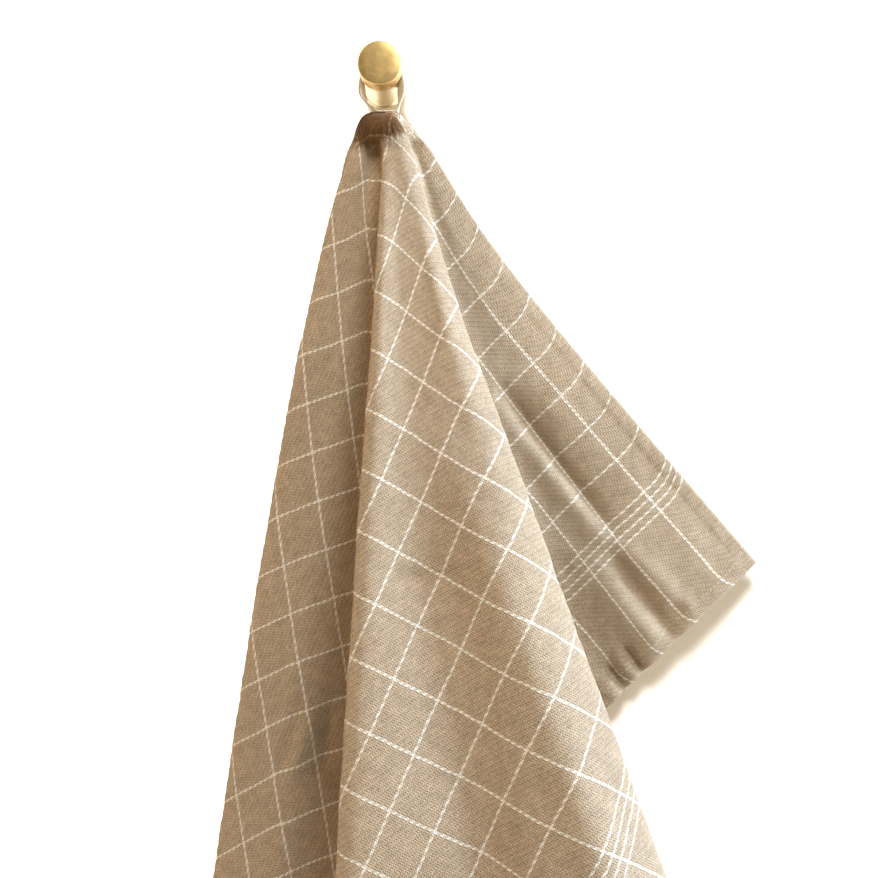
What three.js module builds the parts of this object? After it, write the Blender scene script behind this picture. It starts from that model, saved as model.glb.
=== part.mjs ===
// A tea towel hung by its sewn loop from a turned brass wall peg.
//
// Frame, in millimetres: the origin is the centre of the peg's round foot on the wall.
// +X is to the right, +Y goes into the wall and +Z is up, so the wall is the plane y = 0.
//
// The towel is one sheet, folded as it hangs. The middle of one long side is gathered at
// the loop, and the cloth falls from there in pleats that grow deeper further down. A place
// on the cloth is given by its distance from the gather (its radius), and by how far round
// the gather it lies: 0 along one half of the hung side, 180 along the other half.
import * as THREE from 'three';

// The towel laid flat.
const TOWEL_LENGTH = 700;
const TOWEL_WIDTH = 500;
const CLOTH_THICKNESS = 1;

// Where the loop is sewn to the middle of the long side.
const GATHER = new THREE.Vector3(3, -28, -23);

// The peg, turned in one piece about the Y axis.
const FOOT_RADIUS = 12.5;
const WAIST_RADIUS = 10.6;
const KNOB_RADIUS = 12.4;
const FOOT_DEPTH = 5;
const KNOB_BACK = 38;
const PEG_LENGTH = 50;
const EDGE_ROUND = 1.5;
const PEG_SIDES = 48;

// The tape loop that goes over the peg's waist.
const TAPE_THICKNESS = 1;
const TAPE_WIDTH = 10;
const SEAT_GAP = 0.3;
const LOOP_SHOULDER_Z = -9;
const LOOP_FOOT_HALF = 6.5;
const LOOP_CORNER = 1.5;

// How the pleats grow with the distance from the gather.
const NECK_LENGTH = 200;
const LIFT_LENGTH = 15;
const BEND_START = 25;
const BEND_LENGTH = 80;
const SLACK_LENGTH = 400;

// The cloth is pressed thin by the stitches at the gather, and is free a little way down.
const GATHER_PRESS = 0.35;
const GATHER_RELEASE = 70;

// The folds, in order round the gather from the visible end of the hung side. Angles are in
// degrees and lengths in millimetres.
//   flatTop, flatFoot, settle: how far round the gather the fold lies on the flat cloth,
//     at the gather and far from it, and how soon it goes from one to the other.
//   across, neck: its direction sideways from straight down (+ to the right) far from the
//     gather, and what is added to that near it.
//   crown: how soon it leaves the flat fan that the cloth is right at the gather.
//   lift, out: how far it stands in front of the gather, and how much more of a slope
//     away from the wall it has.
//   slackTop, slackFoot: how much more cloth than a straight line there is from the gather
//     to a place on the fold, near it and SLACK_LENGTH down. The loop is sewn along a short
//     stretch of the side, so the cloth beside that starts nearer, and has less.
//   bend, layer: the radius it is bent to, + where the bend points right and - where it
//     points left (0 for cloth that runs on), and 1 where the next layer lies in front of
//     it or -1 where it lies behind.
//   steps: how many mesh columns run from it to the next fold.
const FOLD_COLUMNS = [
  'name', 'flatTop', 'flatFoot', 'settle', 'across', 'neck', 'crown', 'lift', 'out',
  'slackTop', 'slackFoot', 'bend', 'layer', 'steps',
];
const FOLD_ROWS = [
  ['wing edge', 0, 0, 50, 40.6, -4, 25, -1, -2.2, -9, 12, 0, 0, 3],
  ['wing middle', 10, 10, 50, 30, -4, 25, -1, -1.4, -11, 7, 0, 0, 3],
  ['wing inner', 20, 20, 50, 21.3, 0, 25, -1.5, -1.6, -9, 3, 0, 0, 6],
  ['wing tuck', 25, 32.5, 60, 8, 3, 32, 1, 1.6, -5, 0, -5, 1, 8],
  ['front right edge', 30, 45.2, 50, 19.8, 0, 25, 4, 5.4, -1, -6, 13, 1, 6],
  ['front right', 52, 53.5, 70, 11.8, 2, 28, 6, 8.4, 6, -5, 0, 0, 4],
  ['front left', 72, 61.5, 90, 3.8, 1, 28, 6, 8.1, 11, -3, 0, 0, 6],
  ['front left edge', 88.5, 69, 95, -3.3, 0, 28, 5, 8.2, 12, -3, -5, -1, 8],
  ['left tuck', 104, 84, 95, 11, -8, 32, 2, 5.2, 15, 10, 5, -1, 7],
  ['left inner', 121.5, 101.9, 30, -3, -3.6, 36, -0.5, 0, 17, 20, 0, 0, 3],
  ['left middle', 128, 107.6, 80, -7.6, -10.5, 40, 0.5, 0.5, 14, 13, 0, 0, 5],
  ['left edge', 144.4, 113.2, 95, -11, -18, 40, -1.5, -0.3, 16, 2, -4, -1, 7],
  ['back right tuck', 157, 135, 95, 9, -22, 40, -4, -1.2, 8, 2, 3, -1, 7],
  ['back left tuck', 166, 154, 95, -9, -8, 40, -6.5, -2, 6, 0, -3, -1, 7],
  ['far edge', 180, 180, 50, 15, -12, 40, -9, -2.5, 0, 0, 0, 0, 0],
];
const FOLDS = FOLD_ROWS.map((row) => Object.fromEntries(FOLD_COLUMNS.map((name, i) => [name, row[i]])));

const RADIAL_STEPS = 20;
const RADIAL_CROWDING = 1.35;
const COLUMN_CROWDING = 0.75;
const CROWDING_LENGTH = 200;
const SECTION_STEPS = 10;
const SOLVER_STEPS = 40;

const degrees = THREE.MathUtils.degToRad;
const fade = (radius, length) => Math.exp(-radius / length);

// One fold at a radius, measured on the hung cloth: its place on the flat cloth (how far
// round, and how far out), and the points that its bend runs through in the section there,
// unrolled: x is the distance sideways round the gather, y is toward the room.
function foldAt(fold, radius) {
  const round = fold.flatFoot + (fold.flatTop - fold.flatFoot) * fade(radius, fold.settle);
  const hung = fold.across + fold.neck * fade(radius, NECK_LENGTH);
  const fan = 90 - fold.flatTop - fold.across - fold.neck;
  const across = hung + fan * fade(radius, fold.crown);
  const grown = 1 - fade(radius, LIFT_LENGTH);
  const slack = fold.slackTop + (fold.slackFoot - fold.slackTop) * (radius / SLACK_LENGTH);
  const out = fold.lift * grown + radius * Math.sin(degrees(fold.out));
  const tip = new THREE.Vector2(degrees(across) * radius, out);
  const bend = fold.bend * (1 - fade(Math.max(radius - BEND_START, 0), BEND_LENGTH));
  const rise = fold.layer * Math.abs(bend);
  const before = new THREE.Vector2(tip.x - bend, tip.y - rise);
  const after = new THREE.Vector2(tip.x - bend, tip.y + rise);
  return { round, flatRadius: radius + slack * grown, points: fold.layer ? [before, tip, after] : [tip] };
}

// A station is a place across the folds: 2.5 is halfway from fold 2 to fold 3.
function splitStation(station) {
  const first = Math.min(Math.floor(station), FOLDS.length - 2);
  return { first, share: station - first };
}

// Where a station's cloth lies on the flat towel.
function flatAt(station, radius) {
  const { first, share } = splitStation(station);
  const from = foldAt(FOLDS[first], radius);
  const to = foldAt(FOLDS[first + 1], radius);
  const round = THREE.MathUtils.lerp(from.round, to.round, share);
  const reach = THREE.MathUtils.lerp(from.flatRadius, to.flatRadius, share);
  return { round, reach };
}

// A centripetal Catmull-Rom curve through the middle two of four points.
function centripetal(points, share) {
  const knots = [0];
  for (let i = 1; i < 4; i += 1) {
    const gap = Math.sqrt(points[i].distanceTo(points[i - 1]));
    knots.push(knots[i - 1] + Math.max(gap, 1e-3));
  }
  const at = THREE.MathUtils.lerp(knots[1], knots[2], share);
  const mix = (a, b, from, to) => a.clone().lerp(b, (at - from) / (to - from));
  const first = [0, 1, 2].map((i) => mix(points[i], points[i + 1], knots[i], knots[i + 1]));
  const second = [0, 1].map((i) => mix(first[i], first[i + 1], knots[i], knots[i + 2]));
  return mix(second[0], second[1], knots[1], knots[2]);
}

// The section's line from one fold's tip to the next one's, as many short steps.
function sectionTrail(first, radius) {
  const last = FOLDS.length - 1;
  const around = [first - 1, first, first + 1, first + 2].map((i) => {
    const { points } = foldAt(FOLDS[THREE.MathUtils.clamp(i, 0, last)], radius);
    return { points, tip: points[(points.length - 1) / 2] };
  });
  const line = around.flatMap(({ points }) => points);
  const start = line.indexOf(around[1].tip);
  const end = line.indexOf(around[2].tip);
  const trail = [line[start]];
  for (let i = start; i < end; i += 1) {
    const near = line.slice(i - 1, i + 3);
    for (let step = 1; step <= SECTION_STEPS; step += 1) {
      trail.push(centripetal(near, step / SECTION_STEPS));
    }
  }
  return trail;
}

// A point of a trail at an even share of its length, so that the cloth isn't stretched in
// one place and bunched in another.
function alongTrail(trail, share) {
  const lengths = [0];
  for (let i = 1; i < trail.length; i += 1) {
    lengths.push(lengths[i - 1] + trail[i].distanceTo(trail[i - 1]));
  }
  const wanted = share * lengths[lengths.length - 1];
  const after = Math.max(1, lengths.findIndex((length) => length >= wanted));
  const step = Math.max(lengths[after] - lengths[after - 1], 1e-9);
  return trail[after - 1].clone().lerp(trail[after], (wanted - lengths[after - 1]) / step);
}

// The point of the hung cloth at a station and a radius.
function clothPoint(station, radius) {
  const { first, share } = splitStation(station);
  const at = alongTrail(sectionTrail(first, radius), share);
  const depth = THREE.MathUtils.clamp(at.y, -radius, radius);
  const reach = Math.sqrt(radius * radius - depth * depth);
  const angle = radius > 0 ? at.x / radius : 0;
  return new THREE.Vector3(
    GATHER.x + reach * Math.sin(angle),
    GATHER.y - depth,
    GATHER.z - reach * Math.cos(angle),
  );
}

// The distance from the gather to the edge of the flat towel, in one direction round it.
function edgeRadius(round) {
  const along = Math.abs(Math.cos(degrees(round)));
  const down = Math.sin(degrees(round));
  return Math.min(TOWEL_LENGTH / 2 / Math.max(along, 1e-9), TOWEL_WIDTH / Math.max(down, 1e-9));
}

// A mesh column's station: the columns crowd toward the bends, more so further down, where
// there is more cloth between them.
function stationAt(column, radius) {
  const crowding = COLUMN_CROWDING * (1 - fade(radius, CROWDING_LENGTH));
  return column - crowding * Math.sin(2 * Math.PI * column) / (2 * Math.PI);
}

// The radius at which a column's line meets the towel's edge.
function columnEnd(column) {
  let radius = TOWEL_WIDTH;
  for (let i = 0; i < SOLVER_STEPS; i += 1) {
    const flat = flatAt(stationAt(column, radius), radius);
    radius += edgeRadius(flat.round) - flat.reach;
  }
  return radius;
}

// The column that passes through a corner of the towel.
function cornerColumn(round) {
  let low = 0;
  let high = FOLDS.length - 1;
  for (let i = 0; i < SOLVER_STEPS; i += 1) {
    const middle = (low + high) / 2;
    const radius = columnEnd(middle);
    if (flatAt(stationAt(middle, radius), radius).round < round) low = middle;
    else high = middle;
  }
  return (low + high) / 2;
}

// The mesh's columns, with the two nearest the corners moved onto them.
function meshColumns() {
  const columns = FOLDS.flatMap((fold, i) => Array.from({ length: fold.steps }, (_, step) => i + step / fold.steps));
  columns.push(FOLDS.length - 1);
  const corner = THREE.MathUtils.radToDeg(Math.atan2(TOWEL_WIDTH, TOWEL_LENGTH / 2));
  for (const round of [corner, 180 - corner]) {
    const exact = cornerColumn(round);
    const distances = columns.map((column) => Math.abs(column - exact));
    columns[distances.indexOf(Math.min(...distances))] = exact;
  }
  return columns;
}

// The middle of the sheet as columns of points from the gather to the towel's edge, each
// with its place on the flat towel.
function clothGrid() {
  return meshColumns().map((column) => {
    const end = columnEnd(column);
    return Array.from({ length: RADIAL_STEPS }, (_, step) => {
      const radius = end * ((step + 1) / RADIAL_STEPS) ** RADIAL_CROWDING;
      const station = stationAt(column, radius);
      const press = Math.min(1, GATHER_PRESS + radius / GATHER_RELEASE);
      return { point: clothPoint(station, radius), flat: flatAt(station, radius), press };
    });
  });
}

// The sheet's facing direction at a point of the grid, from the points round it.
function gridNormal(grid, i, j) {
  const pointAt = (column, step) => {
    const inside = THREE.MathUtils.clamp(column, 0, grid.length - 1);
    return step < 0 ? GATHER : grid[inside][Math.min(step, RADIAL_STEPS - 1)].point;
  };
  const along = pointAt(i, j + 1).clone().sub(pointAt(i, j - 1));
  const side = pointAt(i + 1, j).clone().sub(pointAt(i - 1, j));
  return side.cross(along).normalize();
}

function towelGeometry() {
  const grid = clothGrid();
  const columns = grid.length;
  const positions = [];
  const flat = [];
  const addPoint = (point, normal, offset, { round, reach }) => {
    positions.push(...point.clone().addScaledVector(normal, offset).toArray());
    flat.push(reach * Math.cos(degrees(round)), reach * Math.sin(degrees(round)));
    return positions.length / 3 - 1;
  };
  const half = CLOTH_THICKNESS / 2;
  const facing = new THREE.Vector3(0, -1, 0);
  const apex = [half, -half].map((offset) => addPoint(GATHER, facing, offset, { round: 90, reach: 0 }));
  const [front, back] = [half, -half].map((offset) => grid.map((column, i) => (
    column.map((spot, j) => addPoint(spot.point, gridNormal(grid, i, j), offset * spot.press, spot.flat))
  )));
  const faces = [];
  const quad = (a, b, c, d) => faces.push(a, b, c, a, c, d);
  for (let i = 0; i + 1 < columns; i += 1) {
    faces.push(apex[0], front[i + 1][0], front[i][0]);
    faces.push(apex[1], back[i][0], back[i + 1][0]);
    for (let j = 0; j + 1 < RADIAL_STEPS; j += 1) {
      quad(front[i][j], front[i + 1][j], front[i + 1][j + 1], front[i][j + 1]);
      quad(back[i][j], back[i][j + 1], back[i + 1][j + 1], back[i + 1][j]);
    }
    const hem = RADIAL_STEPS - 1;
    quad(front[i][hem], front[i + 1][hem], back[i + 1][hem], back[i][hem]);
  }
  const side = (i, turn) => {
    const line = [apex[0], ...front[i]];
    const behind = [apex[1], ...back[i]];
    for (let j = 0; j < RADIAL_STEPS; j += 1) {
      if (turn) quad(line[j], line[j + 1], behind[j + 1], behind[j]);
      else quad(line[j], behind[j], behind[j + 1], line[j + 1]);
    }
  };
  side(0, true);
  side(columns - 1, false);
  const geometry = new THREE.BufferGeometry();
  geometry.setAttribute('position', new THREE.Float32BufferAttribute(positions, 3));
  geometry.setAttribute('uv', new THREE.Float32BufferAttribute(flat, 2));
  geometry.setIndex(faces);
  return geometry;
}

// A turned profile of (radius, distance from the wall) points, with its corners given.
function pegGeometry() {
  const round = EDGE_ROUND;
  const flare = 3;
  const profile = [
    [0, 0],
    [FOOT_RADIUS, 0],
    [FOOT_RADIUS, FOOT_DEPTH - round],
    [FOOT_RADIUS - round, FOOT_DEPTH],
    [WAIST_RADIUS + round / 2, FOOT_DEPTH + round / 2],
    [WAIST_RADIUS, FOOT_DEPTH + flare],
    [WAIST_RADIUS, KNOB_BACK - flare],
    [WAIST_RADIUS + round / 2, KNOB_BACK - round / 2],
    [KNOB_RADIUS - round / 2, KNOB_BACK],
    [KNOB_RADIUS, KNOB_BACK + round],
    [KNOB_RADIUS, PEG_LENGTH - 2 * round],
    [KNOB_RADIUS - round / 2, PEG_LENGTH - round / 2],
    [KNOB_RADIUS - 2 * round, PEG_LENGTH],
    [0, PEG_LENGTH],
  ];
  const points = profile.map(([radius, distance]) => new THREE.Vector2(radius, distance));
  const geometry = new THREE.LatheGeometry(points, PEG_SIDES);
  return geometry.rotateX(Math.PI);
}

// The loop's outline seen from the front: over the waist, down both sides and in to the
// towel's edge. Its inner line is the same outline, one tape thickness smaller.
function loopOutline(grow) {
  const top = WAIST_RADIUS + SEAT_GAP + grow;
  const foot = GATHER.z + SEAT_GAP + TAPE_THICKNESS - grow;
  const half = LOOP_FOOT_HALF + grow;
  const path = new THREE.Path();
  path.moveTo(top, LOOP_SHOULDER_Z);
  path.lineTo(top, 0);
  path.absarc(0, 0, top, 0, Math.PI, false);
  path.lineTo(-top, LOOP_SHOULDER_Z);
  path.quadraticCurveTo(-top, (LOOP_SHOULDER_Z + foot) / 2, GATHER.x - half, foot + LOOP_CORNER);
  path.quadraticCurveTo(GATHER.x - half, foot, GATHER.x - half + LOOP_CORNER, foot);
  path.lineTo(GATHER.x + half - LOOP_CORNER, foot);
  path.quadraticCurveTo(GATHER.x + half, foot, GATHER.x + half, foot + LOOP_CORNER);
  path.quadraticCurveTo(top, (LOOP_SHOULDER_Z + foot) / 2, top, LOOP_SHOULDER_Z);
  return path;
}

function loopGeometry() {
  const curveSegments = 16;
  const shape = new THREE.Shape(loopOutline(TAPE_THICKNESS).getPoints(curveSegments));
  shape.holes.push(new THREE.Path(loopOutline(0).getPoints(curveSegments).reverse()));
  const geometry = new THREE.ExtrudeGeometry(shape, { depth: TAPE_WIDTH, steps: 1, bevelEnabled: false });
  geometry.rotateX(Math.PI / 2);
  return geometry.translate(0, GATHER.y + TAPE_WIDTH / 2, 0);
}

function piece(name, geometry, color, roughness, metalness) {
  const material = new THREE.MeshStandardMaterial({ color, roughness, metalness });
  const mesh = new THREE.Mesh(geometry, material);
  mesh.name = name;
  return mesh;
}

const part = new THREE.Group();
part.add(piece('towel', towelGeometry(), 0xb7a58b, 0.95, 0));
part.add(piece('hanging_loop', loopGeometry(), 0xe9e2d2, 0.9, 0));
part.add(piece('wall_peg', pegGeometry(), 0xb58a3c, 0.3, 1));

export default part;
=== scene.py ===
import math

import bmesh
import bpy
import numpy as np
from bpy.props import FloatProperty, FloatVectorProperty, IntProperty, PointerProperty
from mathutils import Matrix, Vector, noise


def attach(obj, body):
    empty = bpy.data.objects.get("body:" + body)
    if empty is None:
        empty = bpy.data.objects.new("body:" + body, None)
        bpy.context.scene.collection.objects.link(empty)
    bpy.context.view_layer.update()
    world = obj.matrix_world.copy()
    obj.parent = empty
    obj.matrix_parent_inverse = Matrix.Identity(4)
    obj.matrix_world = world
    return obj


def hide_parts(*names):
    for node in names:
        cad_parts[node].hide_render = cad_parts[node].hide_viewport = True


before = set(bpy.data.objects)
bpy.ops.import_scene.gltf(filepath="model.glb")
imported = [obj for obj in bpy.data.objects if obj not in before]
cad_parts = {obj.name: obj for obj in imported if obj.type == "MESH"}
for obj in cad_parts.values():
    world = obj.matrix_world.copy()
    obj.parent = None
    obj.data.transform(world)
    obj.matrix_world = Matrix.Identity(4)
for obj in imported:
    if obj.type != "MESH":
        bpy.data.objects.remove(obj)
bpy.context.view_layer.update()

# A cotton tea towel hung by its sewn tape loop from a turned brass wall peg.
#
# All in metres. The origin is the centre of the peg's round foot on the wall: +X is to
# the right, +Y goes into the wall and +Z is up. A place on the flat towel is (u, v): u runs
# along the long side that it hangs from, 0 at the loop, and v runs down from that side.

bl_info = {
    "name": "Tea towel on a wall peg",
    "version": (1, 0, 0),
    "blender": (4, 5, 0),
    "location": "3D View > Sidebar > Tea towel",
    "description": "Builds a checked twill tea towel, its tape loop, the brass peg and a plain stage",
    "category": "Object",
}

MM = 0.001

# Where the loop is sewn to the middle of the long side.
GATHER = Vector((0.003, -0.028, -0.023))

# How the pleats grow with the distance from the gather.
NECK_LENGTH = 0.200
LIFT_LENGTH = 0.015
BEND_START = 0.025
BEND_LENGTH = 0.080
SLACK_LENGTH = 0.400

# The pleats, in order round the gather from the visible end of the hung side.
#   flat_top, flat_foot, settle: how far round the gather the fold lies on the flat cloth,
#     in degrees, at the gather and far from it, and how soon it goes from one to the other.
#   across, neck: its direction sideways from straight down, in degrees, far from the
#     gather, and what is added to that near it.
#   crown: how soon it leaves the flat fan that the cloth is right at the gather.
#   lift, out: how far it stands in front of the gather, and its extra slope, in degrees.
#   slack_top, slack_foot: how much more cloth than a straight line lies between the gather
#     and a place on the fold, near it and SLACK_LENGTH down.
#   bend, layer: the radius it is bent to, + to the right and - to the left, and 1 where
#     the next layer lies in front of it or -1 where it lies behind.
FOLD_KEYS = (
    "name", "flat_top", "flat_foot", "settle", "across", "neck", "crown",
    "lift", "out", "slack_top", "slack_foot", "bend", "layer",
)
FOLD_ROWS = (
    ("wing edge", 0, 0, 0.050, 40.6, -4, 0.025, -0.001, -2.2, -0.009, 0.012, 0, 0),
    ("wing middle", 10, 10, 0.050, 30, -4, 0.025, -0.001, -1.4, -0.011, 0.007, 0, 0),
    ("wing inner", 20, 20, 0.050, 21.3, 0, 0.025, -0.0015, -1.6, -0.009, 0.003, 0, 0),
    ("wing tuck", 25, 32.5, 0.060, 8, 3, 0.032, 0.001, 1.6, -0.005, 0, -0.005, 1),
    ("front right edge", 30, 45.2, 0.050, 19.8, 0, 0.025, 0.004, 5.4, -0.001, -0.006, 0.013, 1),
    ("front right", 52, 53.5, 0.070, 11.8, 2, 0.028, 0.006, 8.4, 0.006, -0.005, 0, 0),
    ("front left", 72, 61.5, 0.090, 3.8, 1, 0.028, 0.006, 8.1, 0.011, -0.003, 0, 0),
    ("front left edge", 88.5, 69, 0.095, -3.3, 0, 0.028, 0.005, 8.2, 0.012, -0.003, -0.005, -1),
    ("left tuck", 104, 84, 0.095, 11, -8, 0.032, 0.002, 5.2, 0.015, 0.010, 0.005, -1),
    ("left inner", 121.5, 101.9, 0.030, -3, -3.6, 0.036, -0.0005, 0, 0.017, 0.020, 0, 0),
    ("left middle", 128, 107.6, 0.080, -7.6, -10.5, 0.040, 0.0005, 0.5, 0.014, 0.013, 0, 0),
    ("left edge", 144.4, 113.2, 0.095, -11, -18, 0.040, -0.0015, -0.3, 0.016, 0.002, -0.0055, -1),
    ("back right tuck", 157, 135, 0.095, 9, -22, 0.040, -0.004, -1.2, 0.008, 0.002, 0.003, -1),
    ("back left tuck", 166, 154, 0.095, -9, -8, 0.040, -0.0065, -2, 0.006, 0, -0.003, -1),
    ("far edge", 180, 180, 0.050, 15, -12, 0.040, -0.009, -2.5, 0, 0, 0, 0),
)
FOLDS = [dict(zip(FOLD_KEYS, row)) for row in FOLD_ROWS]
SECTION_STEPS = 10
SOLVER_STEPS = 40
SOLVER_PULL = 0.6
SHORTEST_KNOT = 3e-5

# The stitched hem at the gather rolls toward the room over a groove, with small gathers.
# Each is height, middle and half width, the last two in metres from the gather.
HEM_ROLL = (0.0075, 0.0085, 0.0075)
HEM_GROOVE = (0.0040, 0.0215, 0.0050)
HEM_GATHERS = (0.0007, 0.011, 0.007)
GATHERS_A_RADIAN = 26.0

# The cloth's small waves: height and length in metres, and the noise's seed.
BROAD_WAVES = (0.0013, 0.035, 3.7)
MIDDLE_WAVES = (0.0005, 0.016, 11.2)
FINE_WAVES = (0.00022, 0.007, 5.1)
END_WAVES = (0.0009, 0.009, 7.9)
SIDE_WAVES = (0.0007, 0.012, 2.3)

# Soft ridges (+) and troughs (-) in the cloth, beside its pleats. Each runs from one (u, v)
# to another, all in millimetres: u0, v0, u1, v1, half width, height.
CREASES = (
    ("wing, upper trough", 160, 52, 270, 50, 6.0, -7.2),
    ("wing, slope to it", 160, 43, 270, 41, 10, -3.2),
    ("wing, step beyond it", 165, 76, 290, 80, 15, -3.0),
    ("wing, lower trough", 282, 62, 348, 63, 7, -6.2),
    ("wing, ridge over it", 284, 49, 344, 49, 6, 1.4),
    ("wing, roll at the free corner", 280, 20, 350, 26, 13, 0.8),
    ("wing, inner swell", 235, 84, 340, 80, 12, 2.0),
    ("wing, inner fall", 225, 112, 350, 130, 28, -7.0),
    ("wing hem pucker 1", 328, 96, 350, 97, 3.8, -5.6),
    ("wing hem pucker 2", 330, 113, 350, 115, 3.6, -5.6),
    ("wing hem pucker 3", 330, 131, 350, 133, 3.6, -3.6),
    ("wing hem pucker 4", 328, 50, 343, 52, 4, -2.4),
    ("wing hem swell 1", 326, 74, 342, 76, 8, 1.6),
    ("wing hem swell 2", 326, 105, 342, 106, 4, 1.2),
    ("front, long hollow", 112, 194, 252, 391, 20, -8.4),
    ("front, long ridge", 131, 178, 301, 356, 14, 5.6),
    ("front, lower hollow", 190, 312, 275, 425, 13, -3.6),
    ("front, lower ridge", 235, 288, 330, 385, 14, 2.4),
    ("front, cross wrinkle 1", 108, 247, 146, 226, 5, -1.9),
    ("front, cross wrinkle 2", 120, 262, 150, 246, 4, 0.9),
    ("front, cross wrinkle 3", 206, 322, 240, 300, 6, -1.5),
    ("left, upper pucker", -104, 346, -124, 380, 3.6, -2.2),
    ("left, ridge beside it", -98, 356, -118, 384, 4.6, 2.2),
    ("left, inner trough", -84, 344, -100, 392, 6, -3.2),
    ("left, lower ridge", -118, 400, -138, 455, 9, 1.6),
)


# ---------------------------------------------------------------- the folded cloth

def fade(distance, length):
    """1 at no distance, and less further away."""
    return np.exp(-distance / length)


def ease(value, low, high):
    """0 below low, 1 above high and a smooth rise between them."""
    share = np.clip((value - low) / (high - low), 0.0, 1.0)
    return share * share * (3.0 - 2.0 * share)


def fold_flat(fold, radius):
    """Where a fold lies on the flat cloth, at hung distances from the gather: how far
    round the gather in degrees, and how far out."""
    turn = fold["flat_foot"] + (fold["flat_top"] - fold["flat_foot"]) * fade(radius, fold["settle"])
    grown = 1.0 - fade(radius, LIFT_LENGTH)
    slack = fold["slack_top"] + (fold["slack_foot"] - fold["slack_top"]) * radius / SLACK_LENGTH
    return turn, radius + slack * grown


def fold_points(fold, radius):
    """The points that a fold's bend runs through in the section at hung distances from the
    gather, unrolled: first sideways, then toward the room."""
    hung = fold["across"] + fold["neck"] * fade(radius, NECK_LENGTH)
    fan = 90.0 - fold["flat_top"] - fold["across"] - fold["neck"]
    across = hung + fan * fade(radius, fold["crown"])
    grown = 1.0 - fade(radius, LIFT_LENGTH)
    out = fold["lift"] * grown + radius * math.sin(math.radians(fold["out"]))
    tip = np.stack([np.radians(across) * radius, out], axis=1)
    if not fold["layer"]:
        return [tip], 0
    bend = fold["bend"] * (1.0 - fade(np.maximum(radius - BEND_START, 0.0), BEND_LENGTH))
    rise = fold["layer"] * np.abs(bend)
    before = tip - np.stack([bend, rise], axis=1)
    after = tip - np.stack([bend, -rise], axis=1)
    return [before, tip, after], 1


def centripetal(points, share):
    """A centripetal Catmull-Rom curve through the middle two of four rows of points."""
    knots = [np.zeros(len(points[0]))]
    for i in range(1, 4):
        gap = np.sqrt(np.linalg.norm(points[i] - points[i - 1], axis=1))
        knots.append(knots[-1] + np.maximum(gap, SHORTEST_KNOT))
    at = knots[1] + (knots[2] - knots[1]) * share

    def mix(a, b, start, end):
        part = ((at - start) / (end - start))[:, None]
        return a * (1.0 - part) + b * part

    first = [mix(points[i], points[i + 1], knots[i], knots[i + 1]) for i in range(3)]
    second = [mix(first[i], first[i + 1], knots[i], knots[i + 2]) for i in range(2)]
    return mix(second[0], second[1], knots[1], knots[2])


def section_trail(first, radius):
    """The section's line from one fold's tip to the next one's, as many short steps."""
    line = []
    tips = []
    for i in (first - 1, first, first + 1, first + 2):
        points, tip = fold_points(FOLDS[min(max(i, 0), len(FOLDS) - 1)], radius)
        tips.append(len(line) + tip)
        line += points
    trail = [line[tips[1]]]
    for i in range(tips[1], tips[2]):
        for step in range(1, SECTION_STEPS + 1):
            trail.append(centripetal(line[i - 1:i + 3], step / SECTION_STEPS))
    return np.stack(trail, axis=1)


def along_trail(trail, share):
    """The points of the trails at an even share of their lengths."""
    steps = np.linalg.norm(np.diff(trail, axis=1), axis=2)
    lengths = np.concatenate([np.zeros((len(trail), 1)), np.cumsum(steps, axis=1)], axis=1)
    wanted = share * lengths[:, -1]
    after = np.clip((lengths < wanted[:, None]).sum(axis=1), 1, trail.shape[1] - 1)
    rows = np.arange(len(trail))
    step = np.maximum(lengths[rows, after] - lengths[rows, after - 1], 1e-12)
    part = ((wanted - lengths[rows, after - 1]) / step)[:, None]
    return trail[rows, after - 1] * (1.0 - part) + trail[rows, after] * part


def place_among_folds(turn, reach):
    """For places on the flat cloth, in degrees round the gather and metres from it: the
    fold before each, its share of the way to the next one, and its hung distance."""
    radius = reach.copy()
    rows = np.arange(len(reach))
    for _ in range(SOLVER_STEPS):
        flats = [fold_flat(fold, radius) for fold in FOLDS]
        turns = np.stack([flat[0] for flat in flats], axis=1)
        reaches = np.stack([flat[1] for flat in flats], axis=1)
        first = np.clip((turns <= turn[:, None]).sum(axis=1) - 1, 0, len(FOLDS) - 2)
        width = turns[rows, first + 1] - turns[rows, first]
        share = np.clip((turn - turns[rows, first]) / width, 0.0, 1.0)
        found = reaches[rows, first] * (1.0 - share) + reaches[rows, first + 1] * share
        radius = np.maximum(radius + SOLVER_PULL * (reach - found), 0.0)
    return first, share, radius


def turn_of(flat):
    """How far round the gather places on the flat cloth are, in degrees."""
    return np.degrees(np.arctan2(flat[:, 1], flat[:, 0]))


def hang(flat):
    """The hung places of points of the flat cloth, and their distances from the gather."""
    reach = np.hypot(flat[:, 0], flat[:, 1])
    turn = turn_of(flat)
    first, share, radius = place_among_folds(turn, reach)
    section = np.zeros((len(flat), 2))
    for fold in range(len(FOLDS) - 1):
        here = first == fold
        if here.any():
            section[here] = along_trail(section_trail(fold, radius[here]), share[here])
    depth = np.clip(section[:, 1], -radius, radius)
    level = np.sqrt(radius * radius - depth * depth)
    angle = section[:, 0] / np.maximum(radius, 1e-9)
    places = np.stack([level * np.sin(angle), -depth, -level * np.cos(angle)], axis=1)
    return places + np.array(GATHER), radius


def crease_heights(flat):
    """How far the listed creases lift the cloth toward the room."""
    total = np.zeros(len(flat))
    for _name, u0, v0, u1, v1, half_width, height in CREASES:
        start = np.array([u0, v0]) * MM
        along = np.array([u1, v1]) * MM - start
        length = np.linalg.norm(along)
        along /= length
        away = flat - start
        share = away @ along / length
        beside = away @ np.array([-along[1], along[0]])
        ends = ease(share, -0.15, 0.3) * (1.0 - ease(share, 0.75, 1.15))
        total += height * MM * ends * np.exp(-((beside / (half_width * MM)) ** 2))
    return total


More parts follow.
